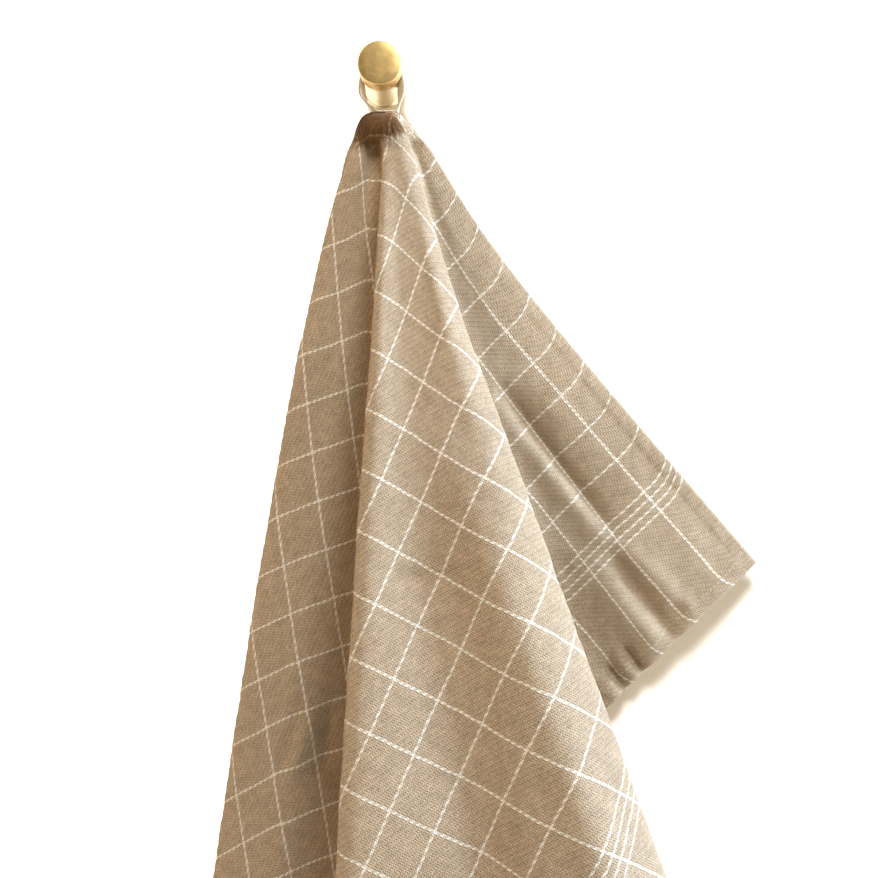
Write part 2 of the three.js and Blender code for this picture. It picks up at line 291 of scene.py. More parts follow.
def bump_at(value, middle, half_width):
    """1 in the middle and less on both sides."""
    return np.exp(-(((value - middle) / half_width) ** 2))


def raised(form, radius):
    """The height at hung distances from the gather of one of the forms round it."""
    height, middle, half_width = form
    return height * bump_at(radius, middle, half_width)


def gather_shift(places, flat, radius):
    """How the stitches at the loop move the cloth: its hem is rolled, its left shoulder
    stands wider and a notch runs down beside the front pleat."""
    turn = np.arctan2(flat[:, 1], flat[:, 0])
    roll = raised(HEM_ROLL, radius) - raised(HEM_GROOVE, radius)
    roll += np.sin(turn * GATHERS_A_RADIAN) * raised(HEM_GATHERS, radius)
    notch = bump_at(np.degrees(turn), 104.0, 9.0) * bump_at(radius, 0.030, 0.012)
    below = np.maximum(GATHER.z - places[:, 2], 0.0)
    left = ease(GATHER.x - places[:, 0], -0.004, 0.008)
    shift = np.zeros(places.shape)
    shift[:, 0] = -0.0075 * fade(below, 0.028) * left * ease(radius, 0.0, 0.005)
    shift[:, 1] = 0.0045 * notch - roll
    shift[:, 2] = 0.0018 * (1.0 - ease(radius, 0.0, 0.012))
    return shift


def painted_gather_shade_share(flat, radius):
    """Where shade is painted on the cloth, from 0 to 1: the hem band that the stitches at the loop pull
    tight, and a notch beside the front pleat.
    """
    turn = turn_of(flat)
    end = 0.0165 + 0.0035 * ease(turn, 90.0, 120.0) + 0.0006 * np.sin(turn * 0.45)
    hem = (1.0 - ease(radius, end - 0.0014, end + 0.0014)) * ease(radius, 0.0010, 0.0050)
    notch = 0.8 * bump_at(turn, 103.0, 7.0) * (1.0 - ease(radius, 0.022, 0.036))
    return np.maximum(hem, notch) * ease(turn, 24.0, 32.0)


def rumple(flat, waves):
    """Smooth unevenness of the given height and length of wave."""
    height, length, seed = waves
    return height * np.array([noise.noise((u / length, v / length, seed)) for u, v in flat])


def graded(count, length, fine):
    """Grid lines from 0 to length that are closer together near 0."""
    places = np.linspace(0.0, length, 600)
    density = 1.0 / (1.0 - 0.6 * np.exp(-places / fine))
    summed = np.concatenate([[0.0], np.cumsum((density[1:] + density[:-1]) / 2.0)])
    return np.interp(np.linspace(0.0, summed[-1], count + 1), summed, places)


def onto(lines, wanted):
    """Moves the nearest grid line onto each wanted one."""
    lines = lines.copy()
    for place in wanted:
        lines[np.argmin(np.abs(lines - place))] = place
    return np.sort(lines)


# ---------------------------------------------------------------- meshes

def new_piece(name, mesh, material):
    """An object of the part at the origin, smooth, with one material."""
    piece = bpy.data.objects.new(name, mesh)
    bpy.context.scene.collection.objects.link(piece)
    mesh.materials.append(material)
    mesh.polygons.foreach_set("use_smooth", [True] * len(mesh.polygons))
    return piece


def vertex_places(mesh):
    places = np.empty(len(mesh.vertices) * 3)
    mesh.vertices.foreach_get("co", places)
    return places.reshape(-1, 3)


def vertex_normals(mesh):
    mesh.update()
    normals = np.empty(len(mesh.vertices) * 3)
    mesh.vertex_normals.foreach_get("vector", normals)
    return normals.reshape(-1, 3)


def move_vertices(mesh, places):
    mesh.vertices.foreach_set("co", np.asarray(places, dtype=float).ravel())
    mesh.update()


def add_flat_map(mesh, flat):
    """A UV map whose numbers are metres on the flat sheet."""
    corners = np.empty(len(mesh.loops), dtype=np.int32)
    mesh.loops.foreach_get("vertex_index", corners)
    layer = mesh.uv_layers.new(name="flat_sheet")
    layer.data.foreach_set("uv", flat[corners].astype(np.float32).ravel())


def mesh_from(bm, name):
    mesh = bpy.data.meshes.new(name)
    bm.to_mesh(mesh)
    bm.free()
    return mesh


def flat_grid(name, columns, rows):
    """A flat grid from -1 to 1 each way, whose faces look toward the room once hung."""
    bm = bmesh.new()
    bmesh.ops.create_grid(bm, x_segments=columns, y_segments=rows, size=1.0)
    bmesh.ops.reverse_faces(bm, faces=bm.faces)
    return mesh_from(bm, name)


def add_thickness(piece, thickness, share_group=None):
    solid = piece.modifiers.new("thickness", "SOLIDIFY")
    solid.thickness = thickness
    solid.offset = 0.0
    if share_group is not None:
        solid.vertex_group = share_group.name


# ---------------------------------------------------------------- materials

# Blotches in the cloth's tone, broad to fine: the noise's scale, detail and roughness, and
# the darkest and lightest tone.
BLOTCHES = (
    (9.0, 3.0, 0.5, 0.95, 1.04),
    (160.0, 4.0, 0.6, 0.91, 1.08),
    (800.0, 2.0, 0.6, 0.90, 1.09),
)
PAINTED_GATHER_SHADE = (0.39, 0.28, 0.18, 1)   # painted shade between the tight gathers at the loop
THREAD_WANDER = 0.0011                  # how far the threads stray sideways
LINE_BLUR = 0.00008
STITCH_LENGTH = 0.0030
BOUNCE = 0.6                            # the share of its light that the stage throws back
GLOW_TINT = (1.0, 0.80, 0.47, 1)


class Wiring:
    """Places and joins the nodes of one material or node group."""

    def __init__(self, tree):
        self.tree = tree
        self.column = 0

    def node(self, kind, values=None, **settings):
        """A node with its settings, and with its inputs joined or set."""
        made = self.tree.nodes.new(kind)
        self.column += 1
        made.location = (self.column * 60 - 3000, (self.column % 7) * -160)
        for key, value in settings.items():
            setattr(made, key, value)
        for key, value in (values or {}).items():
            self.feed(made.inputs[key], value)
        return made

    def feed(self, socket, value):
        if isinstance(value, bpy.types.NodeSocket):
            self.tree.links.new(value, socket)
        else:
            socket.default_value = value

    def math(self, operation, *values):
        return self.node("ShaderNodeMath", dict(enumerate(values)), operation=operation).outputs[0]

    def times(self, first, second):
        return self.math("MULTIPLY", first, second)

    def apart(self, first, second):
        """How far two numbers are apart."""
        return self.math("ABSOLUTE", self.math("SUBTRACT", first, second))

    def parts(self, vector):
        return self.node("ShaderNodeSeparateXYZ", {0: vector}).outputs

    def step(self, value, low, high, start=0.0, end=1.0):
        """A smooth change from start to end as the value goes from low to high."""
        values = {"Value": value, "From Min": low, "From Max": high, "To Min": start, "To Max": end}
        made = self.node("ShaderNodeMapRange", values, interpolation_type="SMOOTHSTEP")
        return made.outputs["Result"]

    def between(self, share, first, second):
        """Two numbers mixed."""
        return self.node("ShaderNodeMix", {0: share, 2: first, 3: second}, data_type="FLOAT").outputs[0]

    def blend(self, share, first, second, kind="MIX"):
        """Two colours mixed."""
        values = {0: share, 6: first, 7: second}
        return self.node("ShaderNodeMix", values, data_type="RGBA", blend_type=kind).outputs[2]

    def noise(self, place, scale, detail=2.0, rough=0.5):
        values = {"Vector": place, "Scale": scale, "Detail": detail, "Roughness": rough}
        return self.node("ShaderNodeTexNoise", values).outputs["Fac"]

    def vector(self, x, y, z=0.0):
        return self.node("ShaderNodeCombineXYZ", {"X": x, "Y": y, "Z": z}).outputs[0]


def node_group(name, numbers, outputs):
    """An empty node group, and its own wiring. It takes a place on the flat cloth and some
    numbers, and gives out numbers."""
    tree = bpy.data.node_groups.new(name, "ShaderNodeTree")
    tree.interface.new_socket("Flat place", in_out="INPUT", socket_type="NodeSocketVector")
    for label, default in numbers.items():
        socket = tree.interface.new_socket(label, in_out="INPUT", socket_type="NodeSocketFloat")
        socket.default_value = default
    for label in outputs:
        tree.interface.new_socket(label, in_out="OUTPUT", socket_type="NodeSocketFloat")
    wires = Wiring(tree)
    return tree, wires, wires.node("NodeGroupInput").outputs, wires.node("NodeGroupOutput").inputs


def twill_group():
    """A two-over, two-under twill of threads that run along and down the cloth."""
    made = bpy.data.node_groups.get("twill weave")
    if made:
        return made
    tree, w, given, result = node_group(
        "twill weave",
        {"Down thread": 0.0009, "Along thread": 0.0012},
        ("Down thread on top", "Height", "Unevenness", "Furrow"),
    )
    flat = w.parts(given["Flat place"])
    i = w.math("DIVIDE", flat["X"], given["Down thread"])
    j = w.math("DIVIDE", flat["Y"], given["Along thread"])
    i_whole = w.math("FLOOR", i)
    j_whole = w.math("FLOOR", j)
    i_part = w.math("SUBTRACT", i, i_whole)
    j_part = w.math("SUBTRACT", j, j_whole)
    turn = w.math("FLOORED_MODULO", w.math("ADD", i_whole, j_whole), 4.0)
    down_top = w.math("LESS_THAN", turn, 1.5)

    def float_height(across, along, start):
        """The height of a thread that passes over two others."""
        rounded = w.math("SINE", w.times(across, math.pi))
        share = w.math("DIVIDE", w.math("ADD", w.math("SUBTRACT", turn, start), along), 2.0)
        arched = w.math("SINE", w.times(share, math.pi))
        return w.times(rounded, w.math("MULTIPLY_ADD", arched, 0.55, 0.45))

    down = float_height(i_part, j_part, 0.0)
    along = float_height(j_part, i_part, 2.0)
    thread_step = 0.73
    slubs = 90.0
    i_row = w.times(i_whole, thread_step)
    j_row = w.times(j_whole, thread_step)
    slub_down = w.noise(w.vector(i_row, w.times(flat["Y"], slubs)), 1.0)
    slub_along = w.noise(w.vector(w.times(flat["X"], slubs), j_row), 1.0)
    w.feed(result["Down thread on top"], down_top)
    w.feed(result["Height"], w.between(down_top, along, down))
    w.feed(result["Unevenness"], w.between(down_top, slub_along, slub_down))
    # The twill's diagonal furrows, used both for bumps and for painted shade.
    slant = w.math("FLOORED_MODULO", w.math("ADD", i, j), 4.0)
    off_furrow = w.apart(slant, 3.0)
    furrow_depth = w.step(w.noise(given["Flat place"], 420.0, 2.0, 0.6), 0.30, 0.58, 0.35, 1.0)
    w.feed(result["Furrow"], w.times(w.step(off_furrow, 0.9, 0.2), furrow_depth))
    return tree


def check_group():
    """White lines both ways, with a band of close ones near the towel's two ends."""
    tree, w, given, result = node_group(
        "window check",
        {"Cell along": 0.0263, "Cell down": 0.0297, "Down line width": 0.0018, "Along line width": 0.0019},
        ("Lines down", "Lines along"),
    )
    flat = w.parts(given["Flat place"])
    middle = 0.2
    band_start = 10.0
    band_end = 10.6
    band_step = 0.2
    column = w.math("DIVIDE", flat["X"], given["Cell along"])
    from_middle = w.apart(column, middle)
    in_band = w.math("GREATER_THAN", from_middle, band_start - band_step / 2)
    spacing = w.math("MULTIPLY_ADD", in_band, band_step - 1.0, 1.0)
    nearest = w.times(w.math("ROUND", w.math("DIVIDE", from_middle, spacing)), spacing)
    off_column = w.apart(from_middle, nearest)
    off_down = w.times(off_column, given["Cell along"])
    woven = w.math("LESS_THAN", from_middle, band_end + band_step / 2)
    first_along = 0.75
    row = w.math("SUBTRACT", w.math("DIVIDE", flat["Y"], given["Cell down"]), first_along)
    off_row = w.apart(row, w.math("ROUND", row))
    off_along = w.times(off_row, given["Cell down"])

    def line(off, width):
        edge = w.times(width, 0.5)
        return w.step(off, w.math("ADD", edge, LINE_BLUR), w.math("SUBTRACT", edge, LINE_BLUR))

    w.feed(result["Lines down"], w.times(line(off_down, given["Down line width"]), woven))
    w.feed(result["Lines along"], line(off_along, given["Along line width"]))
    return tree


def new_material(name):
    """An empty material: its wiring and its main shader."""
    made = bpy.data.materials.new(name)
    made.use_nodes = True
    made.node_tree.nodes.clear()
    wires = Wiring(made.node_tree)
    shader = wires.node("ShaderNodeBsdfPrincipled")
    out = wires.node("ShaderNodeOutputMaterial")
    wires.feed(out.inputs["Surface"], shader.outputs[0])
    return made, wires, shader


def settle(shader, values):
    for key, value in values.items():
        shader.inputs[key].default_value = value


def grouped(wires, tree, values):
    return wires.node("ShaderNodeGroup", values, node_tree=tree).outputs


def relief(wires, shader, height, strength, distance):
    """Small bumps in the material's surface."""
    bump = wires.node("ShaderNodeBump", {"Height": height, "Strength": strength, "Distance": distance})
    wires.feed(shader.inputs["Normal"], bump.outputs[0])


def towel_material(size, check):
    made, w, shader = new_material("checked twill")
    flat = w.node("ShaderNodeUVMap", uv_map="flat_sheet").outputs["UV"]
    drift = w.node("ShaderNodeTexNoise", {"Vector": flat, "Scale": 170.0, "Detail": 2.0}).outputs["Color"]
    wander = w.node("ShaderNodeVectorMath", {0: drift, 1: (0.5, 0.5, 0.5)}, operation="SUBTRACT")
    stray = (THREAD_WANDER, THREAD_WANDER, 0.0)
    woven = w.node("ShaderNodeVectorMath", {0: wander.outputs[0], 1: stray, 2: flat},
                   operation="MULTIPLY_ADD").outputs[0]
    twill = grouped(w, twill_group(), {
        "Flat place": woven,
        "Down thread": check.cell_along / check.threads_along,
        "Along thread": check.cell_down / check.threads_down,
    })
    lines = grouped(w, check_group(), {
        "Flat place": woven,
        "Cell along": check.cell_along,
        "Cell down": check.cell_down,
        "Down line width": 1.6 * check.cell_along / check.threads_along,
        "Along line width": 1.2 * check.cell_down / check.threads_down,
    })
    on_top = twill["Down thread on top"]
    under = w.math("SUBTRACT", 1.0, on_top)
    white = w.math("MAXIMUM", w.times(lines["Lines down"], on_top),
                   w.times(lines["Lines along"], under))
    buried = w.times(w.math("MAXIMUM", lines["Lines down"], lines["Lines along"]), 0.3)
    white = w.math("MAXIMUM", white, buried)
    # Painted shade: the yarn takes the darker furrow colour where the threads dip between the ridges.
    yarn = w.blend(w.step(twill["Height"], 0.0, 0.75), (*check.painted_furrow_shade, 1), (*check.cloth_colour, 1))
    tone = w.math("MULTIPLY_ADD", twill["Unevenness"], 0.48, 0.76)
    # Painted shade: the cloth is darkened along the twill's furrows.
    tone = w.times(tone, w.math("MULTIPLY_ADD", twill["Furrow"], -0.16, 1.03))
    for scale, detail, rough, dark, light in BLOTCHES:
        blotch = w.step(w.noise(flat, scale, detail, rough), 0.3, 0.7, dark, light)
        tone = w.times(tone, blotch)
    place = w.parts(flat)
    # Painted shade: the cloth is darkened where the stitches pull it tight at the loop.
    gathered = w.node("ShaderNodeAttribute", attribute_name="gathered").outputs["Fac"]
    tinted = w.blend(1.0, yarn, w.vector(tone, tone, tone), "MULTIPLY")
    colour = w.blend(white, tinted, (*check.line_colour, 1))
    colour = w.blend(gathered, colour, w.blend(1.0, colour, PAINTED_GATHER_SHADE, "MULTIPLY"))
    from_end = w.math("SUBTRACT", size.length / 2, w.math("ABSOLUTE", place["X"]))
    off_seam = w.apart(from_end, size.hem_width * 0.85)
    seam = w.step(off_seam, 0.0009, 0.0002)
    along_stitch = w.math("FRACT", w.math("DIVIDE", place["Y"], STITCH_LENGTH))
    stitch = w.times(seam, w.step(along_stitch, 0.72, 0.58))
    colour = w.blend(w.times(stitch, 0.25), colour, (*check.line_colour, 1))
    w.feed(shader.inputs["Base Color"], colour)
    fuzz = w.noise(flat, 2600.0, 2.0, 0.7)
    height = w.math("MULTIPLY_ADD", fuzz, 0.22, twill["Height"])
    reliefs = ((white, 0.35), (on_top, 0.2), (twill["Furrow"], -0.45), (seam, -0.5), (stitch, 0.7))
    for form, amount in reliefs:
        height = w.math("MULTIPLY_ADD", form, amount, height)
    relief(w, shader, height, 0.75, 0.0004)
    w.feed(shader.inputs["Roughness"], w.step(twill["Height"], 0.0, 1.0, 0.97, 0.86))
    settle(shader, {"Sheen Weight": 0.18, "Sheen Roughness": 0.45, "Specular IOR Level": 0.25})
    return made


def tape_material(tape):
    made, w, shader = new_material("cotton tape")
    flat = w.node("ShaderNodeUVMap", uv_map="flat_sheet").outputs["UV"]
    place = w.parts(flat)
    mirrored = w.vector(w.math("ABSOLUTE", place["X"]), place["Y"])
    twill = grouped(w, twill_group(), {
        "Flat place": mirrored,
        "Down thread": tape.thread,
        "Along thread": tape.thread,
    })
    # Painted shade: the tape's yarn is darker where its threads dip.
    dark = tuple(0.72 * c for c in tape.colour)
    yarn = w.blend(twill["Height"], (*dark, 1), (*tape.colour, 1))
    tone = w.math("MULTIPLY_ADD", twill["Unevenness"], 0.3, 0.85)
    w.feed(shader.inputs["Base Color"], w.blend(1.0, yarn, w.vector(tone, tone, tone), "MULTIPLY"))
    height = w.math("MULTIPLY_ADD", w.noise(flat, 3000.0), 0.3, twill["Height"])
    relief(w, shader, height, 0.7, 0.0002)
    settle(shader, {"Roughness": 0.9, "Sheen Weight": 0.2})
    return made


def brass_material(peg):
    made, w, shader = new_material("satin brass")
    place = w.node("ShaderNodeTexCoord").outputs["Object"]
    xyz = w.parts(place)
    flat_radius = w.node("ShaderNodeVectorMath", {0: w.vector(xyz["X"], 0.0, xyz["Z"])}, operation="LENGTH")
    turned = w.vector(flat_radius.outputs["Value"], xyz["Y"])
    rings = w.noise(turned, 4200.0, 3.0, 0.6)
    cloud = w.noise(place, 90.0, 4.0, 0.6)
    smear = w.noise(place, 420.0, 3.0, 0.6)
    dull = tuple(c * 0.68 for c in peg.colour)
    # Painted reflection: the waist and foot, nearer the wall than the knob, take a pale colour that stands
    # in for the bright wall reflected in them.
    painted_reflection_share = w.step(xyz["Y"], -0.0385, -0.0365)
    brass = w.blend(w.step(cloud, 0.35, 0.7), (*dull, 1), (*peg.colour, 1))
    w.feed(shader.inputs["Base Color"], w.blend(painted_reflection_share, brass, (*peg.painted_waist_reflection, 1)))
    shine = w.math("MULTIPLY_ADD", smear, 0.16, peg.roughness - 0.06)
    w.feed(shader.inputs["Roughness"], w.math("MULTIPLY_ADD", rings, 0.05, shine))
    relief(w, shader, rings, 0.25, 0.00004)
    settle(shader, {"Metallic": 1.0})
    return made


def stage_material(name, colour, glow, see_through):
    """A matt pale paint that glows a little, clear from behind where it is see-through. It
    throws back less light than it seems to, so that it hardly lights the pieces."""
    made, w, shader = new_material(name)
    place = w.node("ShaderNodeTexCoord").outputs["Object"]
    shade = tuple(c * 0.975 for c in colour)
    dim = tuple(c * BOUNCE for c in colour)
    paint = w.blend(w.noise(place, 3.0), (*shade, 1), (*colour, 1))
    path = w.node("ShaderNodeLightPath").outputs
    seen = w.math("MAXIMUM", path["Is Camera Ray"], path["Is Glossy Ray"])
    w.feed(shader.inputs["Base Color"], w.blend(seen, (*dim, 1), paint))
    settle(shader, {"Roughness": 0.95, "Emission Color": GLOW_TINT, "Emission Strength": glow})
    if see_through:
        clear = w.node("ShaderNodeBsdfTransparent")
        behind = w.node("ShaderNodeNewGeometry").outputs["Backfacing"]
        mixed = w.node("ShaderNodeMixShader", {0: behind, 1: shader.outputs[0], 2: clear.outputs[0]})
        out = next(n for n in made.node_tree.nodes if n.type == "OUTPUT_MATERIAL")
        w.feed(out.inputs["Surface"], mixed.outputs[0])
    return made


# ---------------------------------------------------------------- settings

def number(name, text, default, **settings):
    return FloatProperty(name=name, description=text, default=default, **settings)


def metres(name, text, default):
    return number(name, text, default, min=0.0, max=2.0, unit="LENGTH", precision=5)


def power(name, text, default):
    return number(name, text, default, unit="POWER")


def colour(name, text, default):
    return FloatVectorProperty(name=name, description=text, default=default, min=0.0, max=1.0,
                               size=3, subtype="COLOR")


class TowelSize(bpy.types.PropertyGroup):
    length: metres("Length", "The long side, which hangs from its middle", 0.700)
    width: metres("Width", "The short side", 0.500)
    thickness: metres("Cloth thickness", "One layer of the cloth", 0.0009)
    hem_width: metres("End hem", "How wide the hems at the two ends are", 0.011)
    side_hem_width: metres("Side hem", "How wide the hems along the two long sides are", 0.007)
    hem_thickness: metres("Hem thickness", "The cloth turned over twice", 0.0022)
    columns: IntProperty(name="Columns", description="Mesh faces along the towel", default=272, min=20)
    rows: IntProperty(name="Rows", description="Mesh faces down the towel", default=180, min=20)


class TowelCheck(bpy.types.PropertyGroup):
    cell_along: metres("Cell along", "From one line to the next, along the towel", 0.0263)
    cell_down: metres("Cell down", "From one line to the next, down the towel", 0.0297)
    threads_along: IntProperty(name="Threads along", description="Threads in a cell's width", default=30)
    threads_down: IntProperty(name="Threads down", description="Threads in a cell's height", default=24)
    cloth_colour: colour("Cloth", "The taupe yarn where it is raised", (0.61, 0.497, 0.375))
    # Painted shade: the darker colour of the yarn where it dips between the ridges.
    painted_furrow_shade: colour("Furrows", "The taupe yarn between the ridges", (0.38, 0.28, 0.183))
    line_colour: colour("Lines", "The off-white yarn", (0.93, 0.88, 0.79))


class TowelTape(bpy.types.PropertyGroup):
    width: metres("Width", "The tape's width", 0.010)
    thickness: metres("Thickness", "The tape's thickness", 0.0009)
    thread: metres("Thread", "The width of one thread", 0.00055)
    twist: number("Twist", "How far its legs turn", math.radians(24), subtype="ANGLE")
    colour: colour("Tape", "The off-white tape", (0.93, 0.84, 0.69))


class TowelPeg(bpy.types.PropertyGroup):
    foot_radius: metres("Foot radius", "The round foot on the wall", 0.0125)
    waist_radius: metres("Waist radius", "The stem between the foot and the knob", 0.0106)
    knob_radius: metres("Knob radius", "The round end", 0.0124)
    length: metres("Length", "How far it stands out from the wall", 0.050)
    roughness: number("Roughness", "How satin the brass is", 0.30)
    colour: colour("Brass", "The brass", (0.93, 0.655, 0.29))
    # Painted reflection: a pale colour that stands in for the bright wall reflected in the waist.
    painted_waist_reflection: colour("Waist", "The brass that the loop keeps bright", (0.95, 0.83, 0.60))


class TowelStage(bpy.types.PropertyGroup):
    camera_place: FloatVectorProperty(name="Camera", description="Where the camera stands", size=3,
                                      default=(0.035, -0.680, -0.211), subtype="TRANSLATION")
    lens: number("Lens", "The camera's lens, in mm", 45.8)
    key_power: power("Right light", "The broad light close to the wall on the right", 23.5)
    front_power: power("Front light", "The light from above and in front", 10.4)
    left_power: power("Left light", "The weak light from the left", 5.2)
    wall_power: power("Wall light", "The light that only the wall gets", 250.0)
    fill: number("Fill", "The light from all round", 0.078)
    backdrop: number("Backdrop", "How bright the space round the stage looks", 0.9)
    wall_glow: number("Wall glow", "The wall's own light", 0.17)
    floor_glow: number("Floor glow", "The floor's own light", 0.25)
    wall_colour: colour("Wall", "The pale wall", (0.93, 0.925, 0.91))
    floor_colour: colour("Floor", "The pale floor", (0.86, 0.85, 0.83))
    floor_z: number("Floor height", "Where the floor is", -0.80, unit="LENGTH")


# The lights: name, place, width and height, setting that holds the power, and tint.
LIGHTS_AIM = (0.03, -0.04, -0.28)
TOWEL_LIGHTS = (
    ("right_light", (1.30, -0.26, 0.05), (0.4, 1.1), "key_power", (0.71, 0.86, 1.05)),
    ("front_light", (0.46, -0.90, 0.72), (0.5, 0.6), "front_power", (0.97, 1.0, 0.97)),
    ("left_light", (-0.95, -0.55, 0.55), (0.4, 0.9), "left_power", (1.0, 0.72, 0.46)),
)
WALL_LIGHT = ("wall_light", (-0.55, -3.10, 2.85), (1.3, 1.3), "wall_power", (1.0, 1.0, 1.0))


# ---------------------------------------------------------------- operators

class TEATOWEL_OT_loop(bpy.types.Operator):
    """Make the tape loop that the towel hangs by"""

    bl_idname = "tea_towel.loop"
    bl_label = "Tape loop"

    def outline(self, peg, tape):
        """The loop's middle line seen from the front, from its sewn foot round to the foot."""
        radius = peg.waist_radius + 0.0003 + tape.thickness / 2
        shoulder = -0.009
        foot = GATHER.z + 0.0008
        half = 0.0065
        corner = 0.0015
        middle = GATHER.x
        points = [Vector((middle, 0, foot)), Vector((middle + half - corner, 0, foot))]
        points += self.curve(points[-1], (middle + half, foot), (middle + half, foot + corner), 6)
        points += self.curve(points[-1], (radius, (shoulder + foot) / 2), (radius, shoulder), 12)
        for step in range(33):
            angle = math.pi * step / 32
            points.append(Vector((radius * math.cos(angle), 0, radius * math.sin(angle))))
        points += self.curve(Vector((-radius, 0, shoulder)), (-radius, (shoulder + foot) / 2),
                             (middle - half, foot + corner), 12, True)
        points += self.curve(points[-1], (middle - half, foot), (middle - half + corner, foot), 6)
        points.append(Vector((middle, 0, foot)))
        return points

    def curve(self, start, bend, end, steps, with_start=False):
        """A quadratic curve in the XZ plane."""
        bend = Vector((bend[0], 0, bend[1]))
        end = Vector((end[0], 0, end[1]))
        shares = [i / steps for i in range(0 if with_start else 1, steps + 1)]
        return [start * (1 - t) ** 2 + bend * 2 * t * (1 - t) + end * t ** 2 for t in shares]

    def execute(self, context):
        tape = context.scene.towel_tape
        peg = context.scene.towel_peg
        line = np.array([tuple(p) for p in self.outline(peg, tape)])
        steps = np.linalg.norm(np.diff(line, axis=0), axis=1)
        lengths = np.concatenate([[0.0], np.cumsum(steps)])
        total = lengths[-1]
        columns = 10
        rows = 150
        mesh = flat_grid("towel_loop", columns, rows)
        flat = vertex_places(mesh)[:, :2]
        across = flat[:, 0] * tape.width / 2
        along = (flat[:, 1] + 1) / 2 * total
        middle = np.stack([np.interp(along, lengths, line[:, k]) for k in range(3)], axis=1)
        share = along / total
        leg = ease(share, 0.06, 0.2) * (1.0 - ease(share, 0.22, 0.36))
        other = ease(share, 0.64, 0.78) * (1.0 - ease(share, 0.80, 0.94))
        turn = tape.twist * (leg - 0.7 * other)
        side = np.stack([np.sin(turn), -np.cos(turn), np.zeros(len(turn))], axis=1)
        wave = 0.0003 * np.sin(along * 420.0) * np.cos(across * 300.0)
        places = middle + side * across[:, None]
        places[:, 1] += GATHER.y
        move_vertices(mesh, places)
        move_vertices(mesh, places + vertex_normals(mesh) * (wave * (leg + other))[:, None])
        add_flat_map(mesh, np.stack([across, along], axis=1))
        piece = new_piece("towel_loop", mesh, tape_material(tape))
        add_thickness(piece, tape.thickness)
        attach(piece, "root")
        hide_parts("hanging_loop")
        return {"FINISHED"}


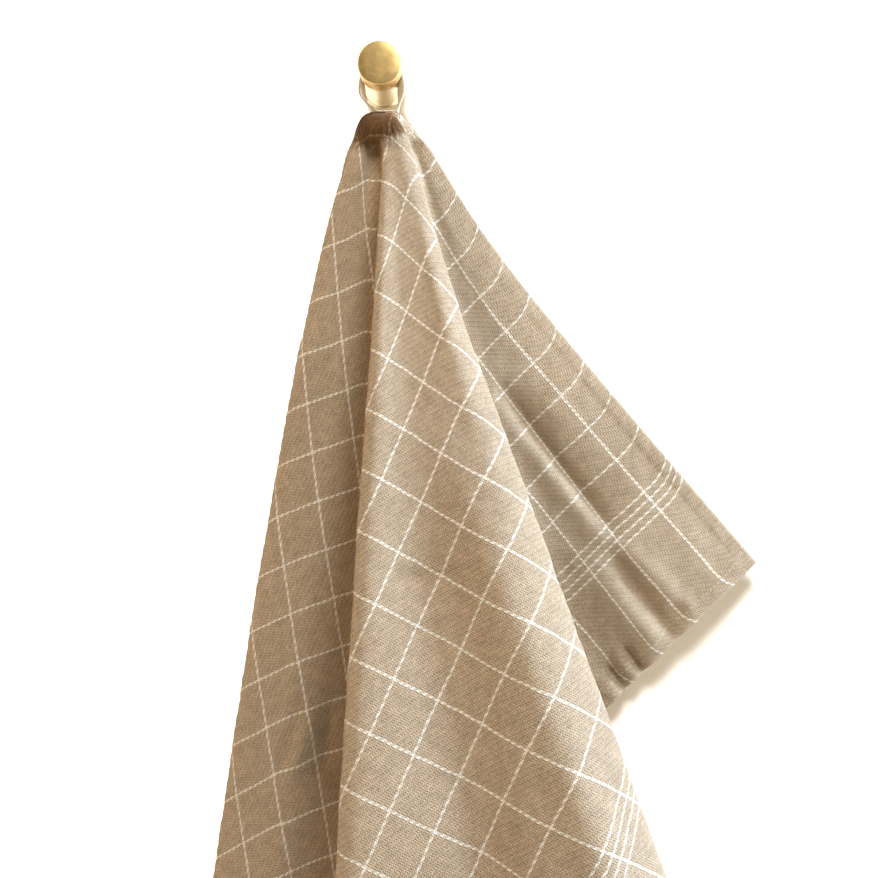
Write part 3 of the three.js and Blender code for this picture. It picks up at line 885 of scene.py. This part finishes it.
class TEATOWEL_OT_cloth(bpy.types.Operator):
    """Make the folded towel with its pleats, creases and hems"""

    bl_idname = "tea_towel.cloth"
    bl_label = "Towel"

    def flat_lines(self, size):
        """The grid's lines along and down the flat towel, with some on the hems' edges."""
        seen = graded(size.columns // 2, size.length / 2, 0.06)
        hidden = graded(size.columns // 2, size.length / 2, 0.20)
        fold = size.length / 2 - size.hem_width
        edges = (fold - 0.0006, fold + 0.0006, size.length / 2 - 0.0008)
        across = np.concatenate([-onto(hidden, edges)[:0:-1], onto(seen, edges)])
        down = graded(size.rows, size.width, 0.06)
        fold = size.width - size.side_hem_width
        down = onto(down, (size.side_hem_width, fold - 0.0006, fold + 0.0006, size.width - 0.0008))
        return across, down

    def from_edges(self, flat, size):
        """How far places are from the nearer end and the nearer long side."""
        return size.length / 2 - np.abs(flat[:, 0]), np.minimum(flat[:, 1], size.width - flat[:, 1])

    def hem_share(self, flat, radius, size):
        """How thick the cloth is at each place, as a share of the hem's thickness."""
        from_end, from_side = self.from_edges(flat, size)
        end_hem = 1.0 - ease(from_end, size.hem_width - 0.0004, size.hem_width + 0.0004)
        side_hem = 1.0 - ease(from_side, size.side_hem_width - 0.0004, size.side_hem_width + 0.0010)
        side_hem *= 0.75 * ease(radius, 0.08, 0.14)
        plain = size.thickness / size.hem_thickness
        share = plain + (1.0 - plain) * np.maximum(end_hem, side_hem)
        rim = 1.0 - 0.35 * (1.0 - ease(np.minimum(from_end, from_side), 0.0, 0.0012))
        press = np.minimum(1.0, 0.30 + radius / 0.075)
        return share * rim * press

    def unevenness(self, flat, radius, size):
        """How far the cloth stands off its smooth pleats, toward the room."""
        settled = ease(radius, 0.05, 0.15)
        from_end, from_side = self.from_edges(flat, size)
        turned = turn_of(flat) * MM * 4.0
        down_folds = np.stack([turned, np.hypot(flat[:, 0], flat[:, 1]) * 0.28], axis=1)
        height = rumple(down_folds, BROAD_WAVES)
        height += rumple(flat, MIDDLE_WAVES)
        height += rumple(flat, FINE_WAVES)
        near_end = (1.0 - ease(from_end, 0.012, 0.040)) * ease(from_end, 0.002, 0.012)
        height += near_end * rumple(flat * (0.25, 1.0), END_WAVES)
        near_side = (1.0 - ease(from_side, 0.008, 0.030)) * ease(from_side, 0.0, 0.007)
        height += near_side * rumple(flat * (1.0, 0.3), SIDE_WAVES)
        return settled * (height + crease_heights(flat))

    def drawn_pattern(self, flat, size):
        """The flat places as the woven pattern has them: the hems pull the threads askew."""
        u = flat[:, 0].copy()
        v = flat[:, 1].copy()
        near_side = np.clip(1.0 - flat[:, 1] / 0.015, 0.0, 1.0)
        u += np.sign(flat[:, 0]) * 0.006 * near_side ** 2 * ease(np.abs(flat[:, 0]), 0.03, 0.08)
        near_end = np.clip(1.0 - (size.length / 2 - np.abs(flat[:, 0])) / 0.013, 0.0, 1.0)
        v += 0.0045 * near_end ** 2
        return np.stack([u, v], axis=1)

    def execute(self, context):
        size = context.scene.towel_size
        mesh = flat_grid("towel_cloth", size.columns, size.rows)
        across, down = self.flat_lines(size)
        grid = vertex_places(mesh)
        column = np.rint((grid[:, 0] + 1) / 2 * size.columns).astype(int)
        row = np.rint((grid[:, 1] + 1) / 2 * size.rows).astype(int)
        flat = np.stack([across[column], down[row]], axis=1)
        places, radius = hang(flat)
        places += gather_shift(places, flat, radius)
        move_vertices(mesh, places)
        out = self.unevenness(flat, radius, size)
        places += vertex_normals(mesh) * out[:, None]
        places[:, 1] = np.minimum(places[:, 1], -0.002)
        move_vertices(mesh, places)
        add_flat_map(mesh, self.drawn_pattern(flat, size))
        # Where shade is painted at the top of the cloth, kept on the mesh for the material.
        gathered = mesh.attributes.new("gathered", "FLOAT", "POINT")
        gathered.data.foreach_set("value", painted_gather_shade_share(flat, radius).astype(np.float32))
        piece = new_piece("towel_cloth", mesh, towel_material(size, context.scene.towel_check))
        group = piece.vertex_groups.new(name="thickness_share")
        shares = self.hem_share(flat, radius, size)
        for level in range(1, 101):
            here = np.nonzero(np.clip(np.rint(shares * 100), 1, 100) == level)[0]
            if len(here):
                group.add([int(i) for i in here], level / 100, "REPLACE")
        add_thickness(piece, size.hem_thickness, group)
        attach(piece, "root")
        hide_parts("towel")
        return {"FINISHED"}


class TEATOWEL_OT_peg(bpy.types.Operator):
    """Make the turned brass peg"""

    bl_idname = "tea_towel.peg"
    bl_label = "Brass peg"

    def execute(self, context):
        peg = context.scene.towel_peg
        foot_depth = 0.005
        knob_back = 0.038
        flare = 0.003
        profile = (
            (0.0, 0.0),
            (peg.foot_radius, 0.0),
            (peg.foot_radius, foot_depth),
            (peg.waist_radius + 0.0008, foot_depth + 0.0004),
            (peg.waist_radius, foot_depth + flare),
            (peg.waist_radius, knob_back - flare),
            (peg.waist_radius + 0.0007, knob_back - 0.0006),
            (peg.knob_radius, knob_back),
            (peg.knob_radius, peg.length - 0.0004),
            (peg.knob_radius * 0.6, peg.length - 0.0001),
            (0.0, peg.length),
        )
        bm = bmesh.new()
        points = [bm.verts.new((radius, -out, 0.0)) for radius, out in profile]
        lines = [bm.edges.new(pair) for pair in zip(points, points[1:])]
        bmesh.ops.spin(bm, geom=points + lines, cent=(0, 0, 0), axis=(0, 1, 0), angle=2 * math.pi,
                       steps=96, use_merge=True)
        bmesh.ops.remove_doubles(bm, verts=bm.verts, dist=1e-6)
        bmesh.ops.recalc_face_normals(bm, faces=bm.faces)
        sharp = [e for e in bm.edges if e.is_manifold and e.calc_face_angle() > math.radians(20)]
        bmesh.ops.bevel(bm, geom=sharp, offset=0.0011, offset_type="OFFSET", affect="EDGES", segments=4,
                        profile=0.5, material=-1, clamp_overlap=True)
        piece = new_piece("peg_turned", mesh_from(bm, "peg_turned"), brass_material(peg))
        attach(piece, "root")
        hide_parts("wall_peg")
        return {"FINISHED"}


class TEATOWEL_OT_stage(bpy.types.Operator):
    """Make the pale wall and floor, the lights and the camera"""

    bl_idname = "tea_towel.stage"
    bl_label = "Stage"

    def panel(self, name, matrix, material):
        """A square of wall or floor."""
        bm = bmesh.new()
        bmesh.ops.create_grid(bm, x_segments=2, y_segments=2, size=1.0, matrix=matrix)
        piece = new_piece(name, mesh_from(bm, name), material)

    def lit(self, name, pieces):
        """The pieces that a light falls on."""
        made = bpy.data.collections.new(name)
        for piece in pieces:
            made.objects.link(bpy.data.objects[piece])
        return made

    def light(self, name, place, size, power, tint, pieces):
        """A broad light that looks at the middle of the towel and falls on those pieces."""
        data = bpy.data.lights.new(name, "AREA")
        data.shape = "RECTANGLE"
        data.size, data.size_y = size
        data.energy = power
        data.color = tint
        lamp = bpy.data.objects.new(name, data)
        lamp.location = place
        lamp.rotation_euler = (Vector(LIGHTS_AIM) - Vector(place)).to_track_quat("-Z", "Y").to_euler()
        bpy.context.scene.collection.objects.link(lamp)
        lamp.light_linking.receiver_collection = pieces

    def execute(self, context):
        stage = context.scene.towel_stage
        context.scene.view_settings.view_transform = "Standard"
        context.scene.view_settings.look = "Medium High Contrast"
        wall = stage_material("wall paint", tuple(stage.wall_colour), stage.wall_glow, True)
        floor = stage_material("floor paint", tuple(stage.floor_colour), stage.floor_glow, False)
        upright = Matrix.Rotation(math.pi / 2, 4, "X")
        half = 2.5
        self.panel("stage_wall", Matrix.Translation((0, 0.0008, stage.floor_z + half)) @ upright
                   @ Matrix.Scale(half, 4), wall)
        self.panel("stage_floor", Matrix.Translation((0, 0.0008 - half, stage.floor_z))
                   @ Matrix.Scale(half, 4), floor)
        towel = self.lit("towel lights", ("towel_cloth", "towel_loop", "peg_turned", "stage_floor"))
        backdrop = self.lit("wall light", ("stage_wall",))
        for name, place, size, power, tint in TOWEL_LIGHTS:
            self.light(name, place, size, getattr(stage, power), tint, towel)
        name, place, size, power, tint = WALL_LIGHT
        self.light(name, place, size, getattr(stage, power), tint, backdrop)
        world = bpy.data.worlds.new("soft fill")
        world.use_nodes = True
        w = Wiring(world.node_tree)
        back = next(n for n in world.node_tree.nodes if n.type == "BACKGROUND")
        path = w.node("ShaderNodeLightPath").outputs
        pale = w.math("MAXIMUM", path["Is Camera Ray"], path["Is Glossy Ray"])
        w.feed(back.inputs["Color"], w.blend(pale, (1.0, 0.54, 0.26, 1), (1.0, 0.985, 0.96, 1)))
        strength = w.math("MULTIPLY_ADD", path["Is Camera Ray"], stage.backdrop, stage.fill)
        w.feed(back.inputs["Strength"], w.math("MULTIPLY_ADD", path["Is Glossy Ray"], 0.22, strength))
        context.scene.world = world
        data = bpy.data.cameras.new("camera")
        data.lens = stage.lens
        data.sensor_width = 36.0
        camera = bpy.data.objects.new("camera", data)
        camera.location = stage.camera_place
        camera.rotation_euler = (math.pi / 2, 0, 0)
        context.scene.collection.objects.link(camera)
        context.scene.camera = camera
        return {"FINISHED"}


class TEATOWEL_PT_panel(bpy.types.Panel):
    """The towel's pieces and their sizes"""

    bl_idname = "TEATOWEL_PT_panel"
    bl_label = "Tea towel"
    bl_space_type = "VIEW_3D"
    bl_region_type = "UI"
    bl_category = "Tea towel"

    def draw(self, context):
        for operator, groups in PIECES:
            box = self.layout.box()
            box.operator(operator.bl_idname)
            for group in groups:
                settings = getattr(context.scene, group)
                for key in settings.__annotations__:
                    box.prop(settings, key)


SETTINGS = {
    "towel_size": TowelSize,
    "towel_check": TowelCheck,
    "towel_tape": TowelTape,
    "towel_peg": TowelPeg,
    "towel_stage": TowelStage,
}
PIECES = (
    (TEATOWEL_OT_peg, ("towel_peg",)),
    (TEATOWEL_OT_loop, ("towel_tape",)),
    (TEATOWEL_OT_cloth, ("towel_size", "towel_check")),
    (TEATOWEL_OT_stage, ("towel_stage",)),
)
CLASSES = (*SETTINGS.values(), *(operator for operator, _groups in PIECES), TEATOWEL_PT_panel)


def register():
    for made in CLASSES:
        bpy.utils.register_class(made)
    for name, group in SETTINGS.items():
        setattr(bpy.types.Scene, name, PointerProperty(type=group))


def unregister():
    for name in SETTINGS:
        delattr(bpy.types.Scene, name)
    for made in reversed(CLASSES):
        bpy.utils.unregister_class(made)


def main():
    register()
    bpy.ops.tea_towel.peg()
    bpy.ops.tea_towel.loop()
    bpy.ops.tea_towel.cloth()
    bpy.ops.tea_towel.stage()


if __name__ == "__main__":
    main()
